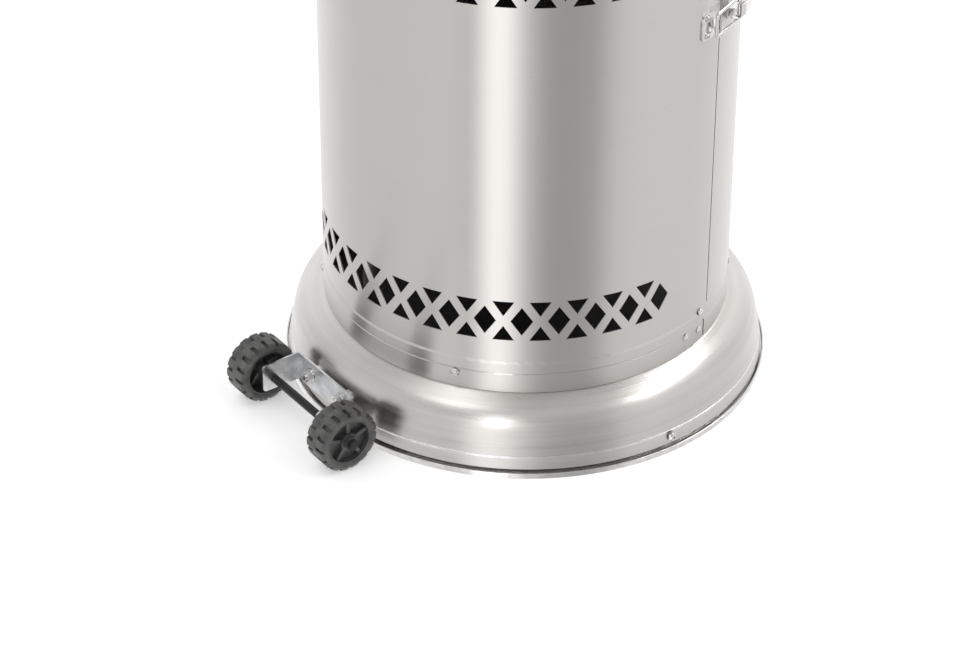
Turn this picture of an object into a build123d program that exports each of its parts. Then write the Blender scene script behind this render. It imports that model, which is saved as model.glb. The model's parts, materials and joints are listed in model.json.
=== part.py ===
"""Outdoor gas heater: round wheeled base, drum housing with a latched door, post, burner head and reflector.

Frame: millimetres, +Z up, origin on the floor at the centre of the base. The wheels are at the back
(+Y) and the door is centred on the front (-Y). Angles are in degrees from +X, anticlockwise from above.
"""
from build123d import *
from math import acos, asin, atan2, cos, degrees, radians, sin, sqrt
import os

os.makedirs("parts", exist_ok=True)

# ---- Driving dimensions -------------------------------------------------------------------------------
SHEET = 1.2             # stainless sheet of the base, collar and lid
HOLE_GAP = 0.25         # radial clearance of a screw or bolt in its hole
RUNNING_GAP = 0.05      # radial clearance of a shaft in its bore

PAN_R = 228.6           # 18 inch base
PAN_LIP_TOP = 5.7
DOME_EDGE = (225.6, 8.2)         # radius and height of the dome's lower edge
SHOULDER_R = 30.0                # radius of the dome's rounded shoulder
SHOULDER_OUT = (225.0, 34.3)     # radius and height where the shoulder meets the side wall
CREASE = (191.0, 69.0)           # radius and height of the crease where the housing stands
NECK_OUT = 188.1
NECK_TOP = 92.0
DOME_SCREW_Z = 14.6

HOUSING_R = 191.0
SHELL_T = 1.0
SHELL_BOTTOM = 90.0
SHELL_TOP = 876.0
BEAD_TOP = 102.0
BEAD_OUT = 0.8
COLLAR_TOP = 112.0
COLLAR_SCREW_Z = 84.2
DOOR_BOTTOM = 105.0
DOOR_TOP = 858.0
DOOR_HALF_SPAN = 66.4            # the door runs this far each side of -Y
DOOR_GAP = 0.35                  # angle of clearance along each door edge
FRONT = 270.0
LATCH_SEAM = FRONT - DOOR_HALF_SPAN
HINGE_SEAM = FRONT + DOOR_HALF_SPAN

LATTICE_PITCH = 10.0             # angle from one diamond to the next
LATTICE_HEIGHTS = (146.2, 483.4, 820.6)
SHELL_DIAMONDS = 19
SHELL_FIRST_DIAMOND = LATCH_SEAM - 21.4
DOOR_DIAMONDS = 9
DIAMOND_HALF = (10.2, 14.9)
TRIANGLE_HALF = 9.9
TRIANGLE_TIP = 5.2
BAND_HALF = 20.5

HINGE_AXIS_R = 196.0
HINGE_AXIS = (HINGE_AXIS_R * cos(radians(HINGE_SEAM)), HINGE_AXIS_R * sin(radians(HINGE_SEAM)))
HINGE_HEIGHTS = (250.0, 650.0)
KNUCKLE_R = 4.5
HINGE_PIN_R = 2.0
LEAF_H = 62.0
MIDDLE_KNUCKLE_H = 22.0
LEAF_SPAN = 6.5                  # angle covered by one leaf
LEAF_T = 1.3

LATCH_Z = 404.0
BAIL_WIRE_R = 1.5
BAIL_HALF_H = 11.0
LEVER_PIVOT = (22.0, 8.0)        # along the wall from the seam, out from the wall
BAIL_PIVOT = (31.0, 7.2)
BAIL_END = (-17.1, 6.0)
LATCH_PIN_R = 1.8

AXLE_Y = 256.4
AXLE_Z = 31.0
AXLE_R = 4.0
AXLE_HALF = 84.5
WHEEL_X = 67.0
WHEEL_R = 30.3
WHEEL_W = 28.5
TYRE_IN = 22.5
HUB_RIM_IN = 20.8
BRACKET_Y = 227.4
BRACKET_HALF = 46.0
BRACKET_T = 2.0
BRACKET_BOTTOM = 20.0
BRACKET_TOP = 49.0
BRACKET_BOLT_X = 24.0
BRACKET_BOLT_Z = 35.0

TRAY_TOP = 63.5
LEG_R = 8.0
LEG_RING = 175.5
LEG_ANGLES = (90.0, LATCH_SEAM - 8.0, HINGE_SEAM + 8.0)
FLANGE_Z = 842.0
POST_R = 31.75
POST_WALL = 1.5
POST_BOTTOM = 806.0
POST_JOINT = 1290.0
POST_TOP = 1712.0

HEAD_R = 80.0
HEAD_BOTTOM = 1745.0
HEAD_TOP = 1835.0
CONTROL_Z = 1790.0
KNOB_X = -22.0
BUTTON_X = 32.0
VALVE_Y = -46.0
SCREEN_BOTTOM = 1836.2
SCREEN_TOP = 2085.0
SCREEN_LOW_R = 92.0
SCREEN_HIGH_R = 114.0
STUD_RING = 72.0
STUD_R = 3.0
REFLECTOR_R = 412.0
REFLECTOR_CENTRE_Z = 2152.0
REFLECTOR_EDGE_Z = 2096.0

BOTTOM_UP = (Align.CENTER, Align.CENTER, Align.MIN)
TOP_DOWN = (Align.CENTER, Align.CENTER, Align.MAX)


# ---- Helpers ------------------------------------------------------------------------------------------
def keep(builder, label):
    """Label a finished piece and write its STEP file."""
    builder.part.label = label
    export_step(builder.part, f"parts/{label}.step")


def polar(radius, angle):
    """The x and y of a point at a radius and an angle."""
    return radius * cos(radians(angle)), radius * sin(radians(angle))


def radial_plane(angle, radius, height):
    """A plane facing straight out from the post axis; its x runs anticlockwise and its y runs up."""
    x, y = polar(radius, angle)
    out = (cos(radians(angle)), sin(radians(angle)), 0)
    return Plane(origin=(x, y, height), x_dir=(-out[1], out[0], 0), z_dir=out)


def axle_plane(x):
    """A plane square to the axle, centred on it, facing +X."""
    return Plane(origin=(x, AXLE_Y, AXLE_Z), x_dir=(0, 1, 0), z_dir=(1, 0, 0))


def add_revolved(points, mode=Mode.ADD):
    """Revolve a closed outline of (radius, height) points round the post axis."""
    with BuildSketch(Plane.XZ) as outline:
        with BuildLine():
            Polyline(*points, close=True)
        make_face()
    revolve(outline.sketch, axis=Axis.Z, mode=mode)


def add_tube(outer, inner, bottom, top, centre=(0, 0), mode=Mode.ADD):
    """An upright tube, or a rod when inner is 0."""
    with BuildSketch(Plane.XY.offset(bottom)) as ring:
        with Locations(centre):
            Circle(outer)
            if inner:
                Circle(inner, mode=Mode.SUBTRACT)
    extrude(ring.sketch, amount=top - bottom, mode=mode)


def add_sector(outer, inner, start, end, bottom, top, mode=Mode.ADD):
    """A stretch of an upright ring between two angles."""
    middle = (start + end) / 2
    with BuildSketch(Plane.XY.offset(bottom)) as ring:
        with BuildLine():
            ThreePointArc(polar(outer, start), polar(outer, middle), polar(outer, end))
            Line(polar(outer, end), polar(inner, end))
            ThreePointArc(polar(inner, end), polar(inner, middle), polar(inner, start))
            Line(polar(inner, start), polar(outer, start))
        make_face()
    extrude(ring.sketch, amount=top - bottom, mode=mode)


def add_screw(plane, head_r, head_h, shank_r, shank):
    """A cross-recessed pan-head screw; the plane lies under its head and faces out of the head."""
    with Locations(plane):
        Cylinder(head_r, head_h * 0.45, align=BOTTOM_UP)
        Cylinder(shank_r, shank, align=TOP_DOWN)
    with Locations(plane.offset(head_h * 0.45)):
        Cone(head_r, head_r * 0.62, head_h * 0.55, align=BOTTOM_UP)
    with Locations(plane.offset(head_h)):
        Box(head_r * 1.1, head_r * 0.24, head_h * 0.5, align=TOP_DOWN, mode=Mode.SUBTRACT)
        Box(head_r * 0.24, head_r * 1.1, head_h * 0.5, align=TOP_DOWN, mode=Mode.SUBTRACT)


def cut_holes(planes, radius, depth):
    """Round holes through a wall, centred on each plane and running both ways from it."""
    with Locations(*planes):
        Cylinder(radius, depth * 2, mode=Mode.SUBTRACT)


def cut_lattice(first, count, step):
    """Cut rows of diamonds, with triangles above and below each crossing strap, into a curved wall."""
    angles = [first + step * number for number in range(count)]
    between = [angle + step / 2 for angle in angles[:-1]]
    start = HOUSING_R - 12
    diamonds = [radial_plane(angle, start, height) for angle in angles for height in LATTICE_HEIGHTS]
    gaps = [radial_plane(angle, start, height) for angle in between for height in LATTICE_HEIGHTS]
    half_w, half_h = DIAMOND_HALF
    with BuildSketch(*diamonds) as diamond_holes:
        with BuildLine():
            Polyline((-half_w, 0), (0, -half_h), (half_w, 0), (0, half_h), close=True)
        make_face()
    with BuildSketch(*gaps) as triangle_holes:
        for side in (1, -1):
            edge = BAND_HALF * side
            with BuildLine():
                Polyline((-TRIANGLE_HALF, edge), (TRIANGLE_HALF, edge), (0, TRIANGLE_TIP * side), close=True)
            make_face()
    extrude(diamond_holes.sketch, amount=24, mode=Mode.SUBTRACT)
    extrude(triangle_holes.sketch, amount=24, mode=Mode.SUBTRACT)


# ---- Base ---------------------------------------------------------------------------------------------
SPIGOT_R = 223.6
DOME_SCREW_ANGLES = (0.0, 180.0, 270.0)
dome_screw_planes = [radial_plane(angle, DOME_EDGE[0] + 0.1, DOME_SCREW_Z) for angle in DOME_SCREW_ANGLES]
COLLAR_SCREW_ANGLES = (56.0, 124.0, 236.0, 304.0)
collar_screw_planes = [radial_plane(angle, HOUSING_R, COLLAR_SCREW_Z) for angle in COLLAR_SCREW_ANGLES]
bolt_planes = [
    Plane(origin=(side * BRACKET_BOLT_X, BRACKET_Y, BRACKET_BOLT_Z), x_dir=(-1, 0, 0), z_dir=(0, 1, 0))
    for side in (-1, 1)
]

with BuildPart() as base_pan:
    add_revolved([
        (0, 0), (PAN_R, 0), (PAN_R, PAN_LIP_TOP - 0.4), (PAN_R - 0.4, PAN_LIP_TOP),
        (PAN_R - 1.2, PAN_LIP_TOP), (PAN_R - 1.6, PAN_LIP_TOP - 0.4), (PAN_R - 1.6, 1.5),
        (SPIGOT_R, 1.5), (SPIGOT_R, 21), (SPIGOT_R - 1.5, 21), (SPIGOT_R - 1.5, 1.5), (0, 1.5),
    ])
    cut_holes(dome_screw_planes, 1.9 + HOLE_GAP, 8)
keep(base_pan, "base_pan")

with BuildPart() as base_weight:
    add_revolved([(60, 1.5), (206, 1.5), (206, 20), (204, 22), (60, 22)])
keep(base_weight, "base_weight")

crease_r, crease_z = CREASE
out_r, out_z = SHOULDER_OUT
edge_r, edge_z = DOME_EDGE
centre_r = out_r - SHOULDER_R
to_crease = (crease_r - centre_r, crease_z - out_z)
crease_distance = sqrt(to_crease[0] ** 2 + to_crease[1] ** 2)
slope_angle = atan2(to_crease[1], to_crease[0]) - acos(SHOULDER_R / crease_distance)


def shoulder_point(radius, angle):
    """A point on an arc about the shoulder's centre, as (radius, height)."""
    return centre_r + radius * cos(angle), out_z + radius * sin(angle)


with BuildPart() as base_dome:
    inner = SHOULDER_R - SHEET
    slope_normal = (cos(slope_angle), sin(slope_angle))
    crease_in = (crease_r - SHEET * slope_normal[0], crease_z - SHEET * slope_normal[1])
    with BuildSketch(Plane.XZ):
        with BuildLine():
            Polyline((NECK_OUT, NECK_TOP), (NECK_OUT, crease_z), CREASE, shoulder_point(SHOULDER_R, slope_angle))
            ThreePointArc(
                shoulder_point(SHOULDER_R, slope_angle), shoulder_point(SHOULDER_R, slope_angle / 2), SHOULDER_OUT,
            )
            Polyline(SHOULDER_OUT, DOME_EDGE, (edge_r - SHEET, edge_z), (out_r - SHEET, out_z))
            ThreePointArc(
                (out_r - SHEET, out_z), shoulder_point(inner, slope_angle / 2), shoulder_point(inner, slope_angle),
            )
            Polyline(
                shoulder_point(inner, slope_angle), crease_in, (NECK_OUT - SHEET, crease_z - SHEET),
                (NECK_OUT - SHEET, NECK_TOP), (NECK_OUT, NECK_TOP),
            )
        make_face()
    revolve(axis=Axis.Z)
    cut_holes(dome_screw_planes, 1.9 + HOLE_GAP, 8)
    cut_holes(bolt_planes, 3.0 + HOLE_GAP, 12)
    cut_holes(collar_screw_planes, 1.9 + HOLE_GAP, 8)
keep(base_dome, "base_dome")

with BuildPart() as sheet_screws:
    for plane in dome_screw_planes:
        add_screw(plane, 4.3, 2.9, 1.9, 9)
    for plane in collar_screw_planes:
        add_screw(plane, 4.3, 2.9, 1.9, 7)
keep(sheet_screws, "sheet_screws")

with BuildPart() as bottle_tray:
    add_revolved([
        (0, TRAY_TOP - SHEET), (0, TRAY_TOP), (184, TRAY_TOP), (184, TRAY_TOP + 3), (185.2, TRAY_TOP + 3),
        (185.2, TRAY_TOP - SHEET), (151.5, TRAY_TOP - SHEET), (151.5, 22), (150, 22), (150, TRAY_TOP - SHEET),
    ])
keep(bottle_tray, "bottle_tray")


# ---- Housing ------------------------------------------------------------------------------------------
COLLAR_OUT = 190.9
STEP_OUT = 189.6                 # the collar steps in behind the shell and the door
RIVET_SPOTS = ((-3.7, 101.4), (-3.8, 82.0), (-10.1, 84.8))   # angle past the seam, height
RIVET_SHANK = 2.7
rivet_planes = [
    radial_plane(seam + side * angle, HOUSING_R + (BEAD_OUT + 0.1 if height > SHELL_BOTTOM else 0), height)
    for seam, side in ((LATCH_SEAM, 1), (HINGE_SEAM, -1))
    for angle, height in RIVET_SPOTS
]


def latch_screw_planes(angle, reach):
    """Planes for the two screws of a latch plate, at an angle past the seam and either side of the latch."""
    return [radial_plane(LATCH_SEAM + angle, HOUSING_R + 1.6, LATCH_Z + side * reach) for side in (-1, 1)]


keeper_screw_planes = latch_screw_planes(-7.1, 8.6)
base_screw_planes = latch_screw_planes(17.0, 5.5)

with BuildPart() as housing_collar:
    add_revolved([
        (COLLAR_OUT, CREASE[1]), (COLLAR_OUT, 87.6), (STEP_OUT, 89.2), (STEP_OUT, COLLAR_TOP),
        (STEP_OUT - SHEET, COLLAR_TOP), (STEP_OUT - SHEET, 89.2), (COLLAR_OUT - SHEET, 87.6),
        (COLLAR_OUT - SHEET, CREASE[1]),
    ])
    add_sector(HOUSING_R + 2, 180, LATCH_SEAM - 1.35, LATCH_SEAM - 0.85, CREASE[1] + 2, COLLAR_TOP + 1, Mode.SUBTRACT)
    cut_holes(collar_screw_planes + rivet_planes, 1.9 + HOLE_GAP, 8)
keep(housing_collar, "housing_collar")

with BuildPart() as housing_shell:
    bead_out = HOUSING_R + BEAD_OUT
    add_revolved([
        (bead_out, SHELL_BOTTOM), (bead_out, BEAD_TOP - 2.5), (HOUSING_R, BEAD_TOP), (HOUSING_R, SHELL_TOP),
        (HOUSING_R - SHELL_T, SHELL_TOP), (HOUSING_R - SHELL_T, BEAD_TOP),
        (bead_out - SHELL_T, BEAD_TOP - 2.5), (bead_out - SHELL_T, SHELL_BOTTOM),
    ])
    add_sector(HOUSING_R + 5, 150, LATCH_SEAM, HINGE_SEAM, SHELL_BOTTOM - 5, DOOR_TOP + 2, Mode.SUBTRACT)
    cut_lattice(SHELL_FIRST_DIAMOND, SHELL_DIAMONDS, -LATTICE_PITCH)
    cut_holes(rivet_planes + keeper_screw_planes, 1.9 + HOLE_GAP, 8)
keep(housing_shell, "housing_shell")

with BuildPart() as shell_rivets:
    for plane in rivet_planes:
        with Locations(plane):
            Cylinder(3.6, 0.8, align=BOTTOM_UP)
            Cylinder(1.9, RIVET_SHANK, align=TOP_DOWN)
        with Locations(plane.offset(0.8)):
            Cone(3.6, 1.8, 1.0, align=BOTTOM_UP)
keep(shell_rivets, "shell_rivets")

with BuildPart() as door_jambs:
    jamb_in, jamb_out = STEP_OUT - SHEET, STEP_OUT
    add_sector(jamb_out, jamb_in, LATCH_SEAM - 4, LATCH_SEAM + 2.4, COLLAR_TOP + 1, DOOR_TOP)
    add_sector(jamb_out, jamb_in, HINGE_SEAM - 0.6, HINGE_SEAM + 4, COLLAR_TOP + 1, DOOR_TOP)
keep(door_jambs, "door_jambs")

LID_SKIRT_IN = HOUSING_R + 0.35
LID_CROWN = ((187.0, 884.0), (36.0, 902.0))
with BuildPart() as housing_lid:
    skirt_out = LID_SKIRT_IN + SHEET
    (brim_r, brim_z), (mouth_r, mouth_z) = LID_CROWN
    with BuildSketch(Plane.XZ):
        with BuildLine():
            Line((LID_SKIRT_IN, 866), (skirt_out, 866))
            Line((skirt_out, 866), (skirt_out, SHELL_TOP + 1))
            Spline((skirt_out, SHELL_TOP + 1), LID_CROWN[0], tangents=[(0, 1), (mouth_r - brim_r, mouth_z - brim_z)])
            Line(LID_CROWN[0], LID_CROWN[1])
            Line(LID_CROWN[1], (mouth_r, mouth_z - SHEET))
            Line((mouth_r, mouth_z - SHEET), (brim_r - 1.2, brim_z - SHEET - 0.3))
            Line((brim_r - 1.2, brim_z - SHEET - 0.3), (LID_SKIRT_IN, SHELL_TOP))
            Line((LID_SKIRT_IN, SHELL_TOP), (LID_SKIRT_IN, 866))
        make_face()
    revolve(axis=Axis.Z)
keep(housing_lid, "housing_lid")

with BuildPart() as support_legs:
    for angle in LEG_ANGLES:
        spot = polar(LEG_RING, angle)
        add_tube(LEG_R, LEG_R - 1.5, TRAY_TOP + 3, FLANGE_Z - 3, spot)
        add_tube(LEG_R, 3.5, TRAY_TOP, TRAY_TOP + 3, spot)
        add_tube(LEG_R, 3.5, FLANGE_Z - 3, FLANGE_Z, spot)
keep(support_legs, "support_legs")

with BuildPart() as post_flange:
    add_tube(186, POST_R + 0.05, FLANGE_Z, FLANGE_Z + 3)
    add_tube(POST_R + 3, POST_R + 0.05, POST_BOTTOM + 4, FLANGE_Z)
    add_tube(POST_R + 3, POST_R - 6, POST_BOTTOM, POST_BOTTOM + 4)
    with Locations(*[(*polar(LEG_RING, angle), FLANGE_Z) for angle in LEG_ANGLES]):
        Cylinder(3.25, 20, mode=Mode.SUBTRACT)
    with Locations(*[(*polar(118, angle), FLANGE_Z) for angle in (30, 150, 270)]):
        Cylinder(34, 20, mode=Mode.SUBTRACT)
    cut_holes([radial_plane(angle, POST_R, 824) for angle in (30, 150, 270)], 2.5 + HOLE_GAP, 6)
keep(post_flange, "post_flange")

with BuildPart() as leg_bolts:
    for angle in LEG_ANGLES:
        with Locations((*polar(LEG_RING, angle), FLANGE_Z + 3)):
            Cylinder(3.0, 9, align=TOP_DOWN)
        with BuildSketch(Plane.XY.offset(FLANGE_Z + 3)) as head:
            with Locations(polar(LEG_RING, angle)):
                RegularPolygon(5, 6, major_radius=False)
        extrude(head.sketch, amount=4)
keep(leg_bolts, "leg_bolts")

# ---- Door and its hinges ------------------------------------------------------------------------------
with BuildPart() as door_panel:
    start, end = LATCH_SEAM + DOOR_GAP, HINGE_SEAM - DOOR_GAP
    add_sector(HOUSING_R, HOUSING_R - SHELL_T, start, end, DOOR_BOTTOM, DOOR_TOP)
    cut_lattice(FRONT - LATTICE_PITCH * (DOOR_DIAMONDS - 1) / 2, DOOR_DIAMONDS, LATTICE_PITCH)
    cut_holes(base_screw_planes, 1.7 + HOLE_GAP, 8)
keep(door_panel, "door_panel")


def add_leaf(start, end, middle, outer_knuckles):
    """A hinge leaf that lies on the housing, with either its middle knuckle or its two outer ones."""
    low, high = middle - LEAF_H / 2, middle + LEAF_H / 2
    half_middle = MIDDLE_KNUCKLE_H / 2
    spans = [(middle - half_middle, middle + half_middle)]
    others = [(low, middle - half_middle - 0.3), (middle + half_middle + 0.3, high)]
    if outer_knuckles:
        spans, others = others, [(middle - half_middle - 0.3, middle + half_middle + 0.3)]
    add_sector(HOUSING_R + 0.05 + LEAF_T, HOUSING_R + 0.05, start, end, low, high)
    for bottom, top in others:
        add_tube(KNUCKLE_R + 0.4, 0, bottom, top, HINGE_AXIS, Mode.SUBTRACT)
    for bottom, top in spans:
        add_tube(KNUCKLE_R, 0, bottom, top, HINGE_AXIS)
    add_tube(HINGE_PIN_R + RUNNING_GAP, 0, low - 1, high + 1, HINGE_AXIS, Mode.SUBTRACT)


with BuildPart() as frame_leaves:
    for height in HINGE_HEIGHTS:
        add_leaf(HINGE_SEAM + 0.25, HINGE_SEAM + LEAF_SPAN, height, True)
keep(frame_leaves, "frame_leaves")

with BuildPart() as door_leaves:
    for height in HINGE_HEIGHTS:
        add_leaf(HINGE_SEAM - LEAF_SPAN, HINGE_SEAM - 0.25, height, False)
keep(door_leaves, "door_leaves")

with BuildPart() as hinge_pins:
    for height in HINGE_HEIGHTS:
        top = height + LEAF_H / 2
        add_tube(HINGE_PIN_R, 0, height - LEAF_H / 2, top, HINGE_AXIS)
        add_tube(KNUCKLE_R - 0.6, 0, top, top + 1.8, HINGE_AXIS)
keep(hinge_pins, "hinge_pins")

# ---- Latch --------------------------------------------------------------------------------------------
seam_x, seam_y = polar(HOUSING_R, LATCH_SEAM)
latch_out = (cos(radians(LATCH_SEAM)), sin(radians(LATCH_SEAM)), 0)
latch_plan = Plane(origin=(seam_x, seam_y, LATCH_Z), x_dir=latch_out, z_dir=(0, 0, 1))


def plan(along, out):
    """A point of the latch's plan: along the wall towards the door, and out from the wall."""
    return out, along


def add_plate(points, half_height, middle=0.0, mode=Mode.ADD):
    """A plate of the latch: a plan outline with a height, centred on the latch or offset from it."""
    with BuildSketch(latch_plan.offset(middle - half_height)) as outline:
        with BuildLine():
            Polyline(*[plan(*point) for point in points], close=True)
        make_face()
    extrude(outline.sketch, amount=half_height * 2, mode=mode)


def add_pin(spot, radius, half_height, mode=Mode.ADD):
    """An upright pin of the latch."""
    with BuildSketch(latch_plan.offset(-half_height)) as ring:
        with Locations(plan(*spot)):
            Circle(radius)
    extrude(ring.sketch, amount=half_height * 2, mode=mode)


with BuildPart() as latch_keeper:
    add_sector(HOUSING_R + 1.5, HOUSING_R + 0.05, LATCH_SEAM - 9.3, LATCH_SEAM - 3.6, LATCH_Z - 12.5, LATCH_Z + 12.5)
    fillet(latch_keeper.edges().filter_by(lambda edge: abs(edge.length - 1.45) < 0.02), 5)
    hook = [(-12.4, 0.3), (-12.4, 2.6), (-14.4, 10.4), (-16.0, 10.0), (-14.0, 2.6), (-14.6, 1.2), (-17.0, 0.9),
            (-17.0, 0.0)]
    add_plate(hook, 5)
    cut_holes(keeper_screw_planes, 1.7 + HOLE_GAP, 3)
keep(latch_keeper, "latch_keeper")

with BuildPart() as latch_base:
    add_sector(HOUSING_R + 1.5, HOUSING_R + 0.05, LATCH_SEAM + 4.2, LATCH_SEAM + 20.5, LATCH_Z - 9, LATCH_Z + 9)
    ear = [(14.5, 0.2), (30.0, -1.2), (27.0, 9.0), (24.5, 11.2), (19.5, 11.2), (17.0, 9.0)]
    for side in (-1, 1):
        add_plate(ear, 0.8, side * 7.4)
    add_pin(LEVER_PIVOT, LATCH_PIN_R + RUNNING_GAP, 12, Mode.SUBTRACT)
    cut_holes(base_screw_planes, 1.7 + HOLE_GAP, 3)
keep(latch_base, "latch_base")

with BuildPart() as keeper_screws:
    for plane in keeper_screw_planes:
        add_screw(plane, 3.0, 1.9, 1.7, 5)
keep(keeper_screws, "keeper_screws")

with BuildPart() as latch_base_screws:
    for plane in base_screw_planes:
        add_screw(plane, 3.0, 1.9, 1.7, 5)
keep(latch_base_screws, "latch_base_screws")

with BuildPart() as lever_pin:
    add_pin(LEVER_PIVOT, LATCH_PIN_R, 8.2)
    for side in (-1, 1):
        with BuildSketch(latch_plan.offset(side * 8.6 - 0.4)) as rivet_head:
            with Locations(plan(*LEVER_PIVOT)):
                Circle(LATCH_PIN_R + 0.9)
        extrude(rivet_head.sketch, amount=0.8)
keep(lever_pin, "lever_pin")

LEVER_SIDE = [
    (18.6, 6.5), (19.0, 10.4), (24.0, 11.9), (40.0, 9.1), (56.0, 2.9), (55.4, 0.4), (46.0, 1.6), (36.0, 4.4),
    (31.0, 5.0), (26.0, 5.2), (22.0, 4.9),
]
LEVER_COVER = [
    (19.0, 10.4), (24.0, 11.9), (40.0, 9.1), (58.0, 2.1), (66.0, -0.8), (70.0, 1.4), (70.6, 2.4), (66.2, 0.5),
    (58.3, 3.3), (40.3, 10.3), (24.0, 13.1), (18.7, 11.5),
]
with BuildPart() as latch_lever:
    add_plate(LEVER_COVER, 6.3)
    for side in (-1, 1):
        add_plate(LEVER_SIDE, 0.7, side * 5.6)
    add_pin(LEVER_PIVOT, LATCH_PIN_R + RUNNING_GAP, 12, Mode.SUBTRACT)
    add_pin(BAIL_PIVOT, BAIL_WIRE_R + RUNNING_GAP, 12, Mode.SUBTRACT)
keep(latch_lever, "latch_lever")

with BuildPart() as latch_bail:
    pivot = latch_plan.from_local_coords(Vector(*plan(*BAIL_PIVOT), 0))
    hook_bar = latch_plan.from_local_coords(Vector(*plan(*BAIL_END), 0))
    arm = hook_bar - pivot
    loop_plane = Plane(origin=(pivot + hook_bar) / 2, x_dir=arm.normalized(), z_dir=arm.cross(Vector(0, 0, 1)))
    half_arm = arm.length / 2
    with BuildLine(loop_plane) as loop:
        FilletPolyline(
            (half_arm, BAIL_HALF_H), (half_arm, -BAIL_HALF_H), (-half_arm, -BAIL_HALF_H),
            (-half_arm, BAIL_HALF_H), radius=3.2, close=True,
        )
    with BuildSketch(Plane(origin=loop.line @ 0, z_dir=loop.line % 0)) as wire:
        Circle(BAIL_WIRE_R)
    sweep(wire.sketch, path=loop.line)
keep(latch_bail, "latch_bail")

# ---- Wheels -------------------------------------------------------------------------------------------
NOTCHES = 16
NOTCH_W = 3.8
NOTCH_REACH = 11.5
NOTCH_FLOOR = 27.2
AXLE_LINE = Axis((0, AXLE_Y, AXLE_Z), (1, 0, 0))


def add_wheel_ring(points, x, mode=Mode.ADD):
    """Revolve an outline of (along the axle, radius) points, centred on a wheel, round the axle."""
    with BuildSketch(Plane(origin=(x, AXLE_Y, AXLE_Z), x_dir=(1, 0, 0), z_dir=(0, -1, 0))) as outline:
        with BuildLine():
            Polyline(*points, close=True)
        make_face()
    revolve(outline.sketch, axis=AXLE_LINE, mode=mode)


def add_axle_disc(radius, hole, start, end, mode=Mode.ADD):
    """A disc, sleeve or rod on the axle between two places along it."""
    low, high = min(start, end), max(start, end)
    with BuildSketch(axle_plane(low)) as ring:
        Circle(radius)
        if hole:
            Circle(hole, mode=Mode.SUBTRACT)
    extrude(ring.sketch, amount=high - low, mode=mode)


def make_tyre(side):
    """A moulded tyre with a chunky tread: long notches run in from each shoulder, staggered side to side."""
    half = WHEEL_W / 2
    x = side * WHEEL_X
    with BuildPart() as tyre:
        add_wheel_ring([
            (-half + 1.2, TYRE_IN), (half - 1.2, TYRE_IN), (half, 24.0), (half, 26.3), (half - 2.6, WHEEL_R),
            (-half + 2.6, WHEEL_R), (-half, 26.3), (-half, 24.0),
        ], x)
        for shoulder, stagger in ((-half, 0.0), (half, 0.5)):
            with Locations(axle_plane(x + shoulder)):
                with PolarLocations(NOTCH_FLOOR, NOTCHES, start_angle=stagger * 360 / NOTCHES):
                    Box(8, NOTCH_W, NOTCH_REACH * 2, align=(Align.MIN, Align.CENTER, Align.CENTER), mode=Mode.SUBTRACT)
    return tyre


def make_hub(side):
    """A moulded hub: rim, recessed web with five spokes, and a boss that runs on the axle."""
    x = side * WHEEL_X
    web = x + side * 5
    with BuildPart() as hub:
        add_axle_disc(TYRE_IN, HUB_RIM_IN, x - 13, x + 13)
        add_axle_disc(HUB_RIM_IN + 0.8, 0, web - 1.5, web + 1.5)
        add_axle_disc(8.4, 0, web, x + side * 12.5)
        add_axle_disc(6.6, 0, x - side * 15.5, x + side * 16.6)
        with Locations(axle_plane(web)):
            with PolarLocations(13.8, 5, start_angle=90):
                Box(14.6, 3.6, 12, align=(Align.CENTER, Align.CENTER, Align.CENTER))
        add_axle_disc(AXLE_R + RUNNING_GAP, 0, x - 20, x + 20, Mode.SUBTRACT)
    return hub


for name, side in (("left", 1), ("right", -1)):
    keep(make_tyre(side), f"{name}_tyre")
    keep(make_hub(side), f"{name}_hub")

with BuildPart() as axle:
    add_axle_disc(AXLE_R, 0, -AXLE_HALF, AXLE_HALF)
keep(axle, "axle")

with BuildPart() as axle_caps:
    for side in (-1, 1):
        end = side * AXLE_HALF
        add_axle_disc(5.6, 0, end, end + side * 1.4)
        add_axle_disc(4.4, 0, end + side * 1.4, end + side * 2.6)
keep(axle_caps, "axle_caps")

with BuildPart() as axle_spacers:
    for side in (-1, 1):
        add_axle_disc(6.5, AXLE_R + RUNNING_GAP, side * (BRACKET_HALF + 0.1), side * (WHEEL_X - 15.9))
keep(axle_spacers, "axle_spacers")

with BuildPart() as wheel_bracket:
    with BuildSketch(Plane.XZ.offset(-BRACKET_Y)) as back_plate:
        with Locations((0, (BRACKET_BOTTOM + BRACKET_TOP) / 2)):
            Rectangle(BRACKET_HALF * 2, BRACKET_TOP - BRACKET_BOTTOM)
    extrude(back_plate.sketch, amount=-BRACKET_T)
    for low in (-BRACKET_HALF, BRACKET_HALF - BRACKET_T):
        with BuildSketch(Plane.YZ.offset(low)) as ear_outline:
            with BuildLine():
                Polyline((BRACKET_Y, BRACKET_BOTTOM), (BRACKET_Y, BRACKET_TOP), (265, BRACKET_TOP - 1))
                ThreePointArc((265, BRACKET_TOP - 1), (267.8, BRACKET_TOP - 2.2), (269, BRACKET_TOP - 5))
                Line((269, BRACKET_TOP - 5), (269, BRACKET_BOTTOM + 4))
                ThreePointArc((269, BRACKET_BOTTOM + 4), (267.8, BRACKET_BOTTOM + 1.2), (265, BRACKET_BOTTOM))
                Line((265, BRACKET_BOTTOM), (BRACKET_Y, BRACKET_BOTTOM))
            make_face()
        extrude(ear_outline.sketch, amount=BRACKET_T)
    bends = wheel_bracket.edges().filter_by(Axis.Z).group_by(SortBy.LENGTH)[-1]
    fillet(bends.filter_by(lambda edge: abs(abs(edge.center().X) - BRACKET_HALF) < 0.01), 2.6)
    add_axle_disc(AXLE_R + 0.02, 0, -60, 60, Mode.SUBTRACT)
    cut_holes(bolt_planes, 3.0 + HOLE_GAP, 6)
keep(wheel_bracket, "wheel_bracket")

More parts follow.
